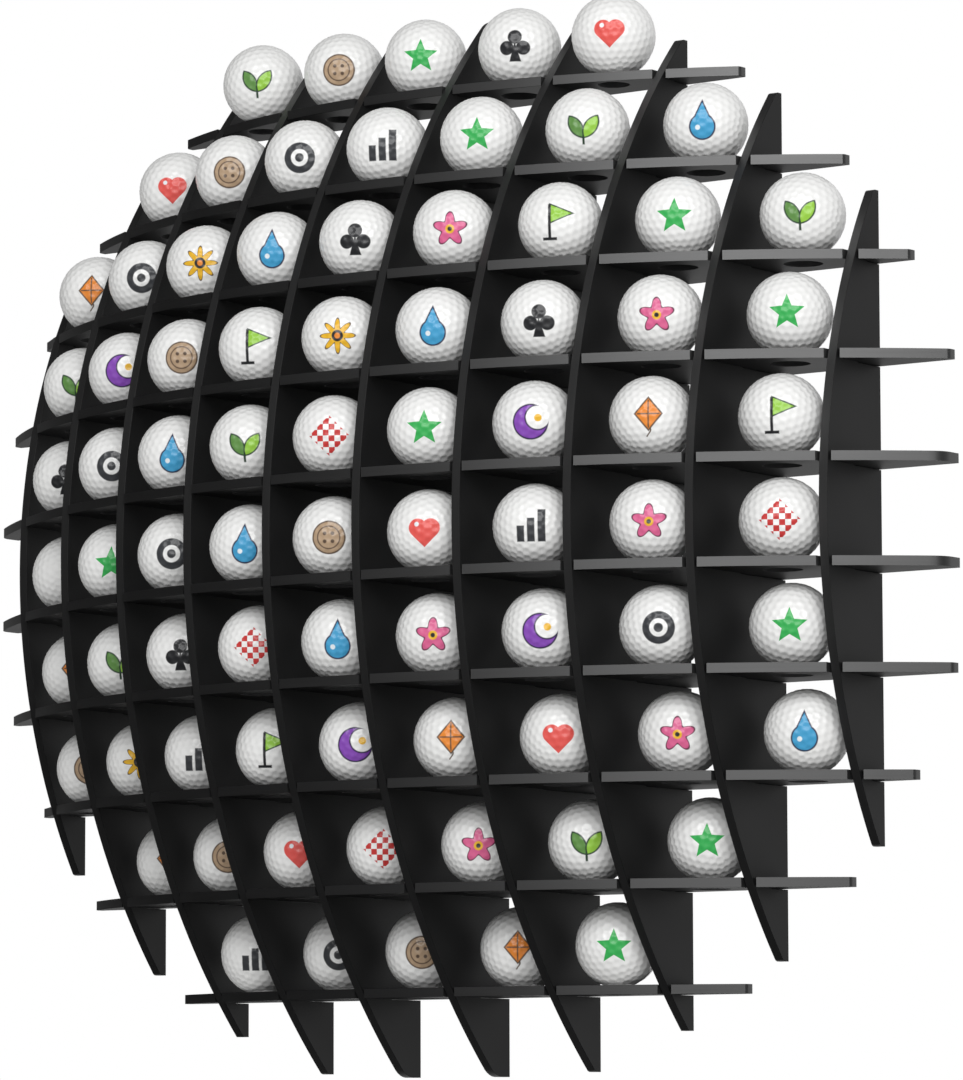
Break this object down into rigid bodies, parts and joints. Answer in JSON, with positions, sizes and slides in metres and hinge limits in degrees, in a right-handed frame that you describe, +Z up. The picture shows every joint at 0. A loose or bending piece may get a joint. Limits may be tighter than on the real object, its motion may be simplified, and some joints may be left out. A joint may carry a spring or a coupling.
{
  "type": "golf ball display rack",
  "caption": "Wall rack of crossed black sheets with a domed front; each cell seats one ball over a round hole in its shelf.",
  "frame": {"origin": "middle of the rack in the wall plane, on which every rear edge lies", "axes": "+Z up, +X to the viewer's right, +Y into the wall, so the domed front faces -Y"},
  "size_m": [0.5966, 0.1286, 0.5451],
  "materials": {
    "black_sheet": "satin black sheet with paler cut edges",
    "ball_cover": "white dimpled ball cover, clear coated"
  },
  "bodies": {
    "rack": {"upright_01": "black_sheet", "upright_02": "black_sheet", "upright_03": "black_sheet", "upright_04": "black_sheet", "upright_05": "black_sheet", "upright_06": "black_sheet", "upright_07": "black_sheet", "upright_08": "black_sheet", "upright_09": "black_sheet", "upright_10": "black_sheet", "shelf_01": "black_sheet", "shelf_02": "black_sheet", "shelf_03": "black_sheet", "shelf_04": "black_sheet", "shelf_05": "black_sheet", "shelf_06": "black_sheet", "shelf_07": "black_sheet", "shelf_08": "black_sheet", "shelf_09": "black_sheet", "shelf_10": "black_sheet", "ball_row_03_column_1": "ball_cover", "ball_row_03_column_2": "ball_cover", "ball_row_03_column_3": "ball_cover", "ball_row_03_column_4": "ball_cover", "ball_row_03_column_5": "ball_cover", "ball_row_03_column_6": "ball_cover", "ball_row_03_column_7": "ball_cover", "ball_row_03_column_8": "ball_cover", "ball_row_03_column_9": "ball_cover", "ball_row_05_column_1": "ball_cover", "ball_row_05_column_2": "ball_cover", "ball_row_05_column_3": "ball_cover", "ball_row_05_column_4": "ball_cover", "ball_row_05_column_5": "ball_cover", "ball_row_05_column_6": "ball_cover", "ball_row_05_column_7": "ball_cover", "ball_row_05_column_8": "ball_cover", "ball_row_05_column_9": "ball_cover", "ball_row_07_column_1": "ball_cover", "ball_row_07_column_2": "ball_cover", "ball_row_07_column_3": "ball_cover", "ball_row_07_column_4": "ball_cover", "ball_row_07_column_5": "ball_cover", "ball_row_07_column_6": "ball_cover", "ball_row_07_column_7": "ball_cover", "ball_row_07_column_8": "ball_cover", "ball_row_07_column_9": "ball_cover", "ball_row_09_column_2": "ball_cover", "ball_row_09_column_3": "ball_cover", "ball_row_09_column_4": "ball_cover", "ball_row_09_column_5": "ball_cover", "ball_row_09_column_6": "ball_cover", "ball_row_09_column_7": "ball_cover", "ball_row_09_column_8": "ball_cover"},
    "loose_ball_1": {"top_ball_1": "ball_cover"},
    "loose_ball_2": {"top_ball_2": "ball_cover"},
    "loose_ball_3": {"top_ball_3": "ball_cover"},
    "loose_ball_4": {"top_ball_4": "ball_cover"},
    "loose_ball_5": {"top_ball_5": "ball_cover"}
  },
  "joints": [
    {"name": "lift_ball_1", "type": "slide", "parent": "rack", "child": "loose_ball_1", "axis": [0, 0, 1], "range_m": [0, 0.05]},
    {"name": "lift_ball_2", "type": "slide", "parent": "rack", "child": "loose_ball_2", "axis": [0, 0, 1], "range_m": [0, 0.05]},
    {"name": "lift_ball_3", "type": "slide", "parent": "rack", "child": "loose_ball_3", "axis": [0, 0, 1], "range_m": [0, 0.05]},
    {"name": "lift_ball_4", "type": "slide", "parent": "rack", "child": "loose_ball_4", "axis": [0, 0, 1], "range_m": [0, 0.05]},
    {"name": "lift_ball_5", "type": "slide", "parent": "rack", "child": "loose_ball_5", "axis": [0, 0, 1], "range_m": [0, 0.05]}
  ]
}
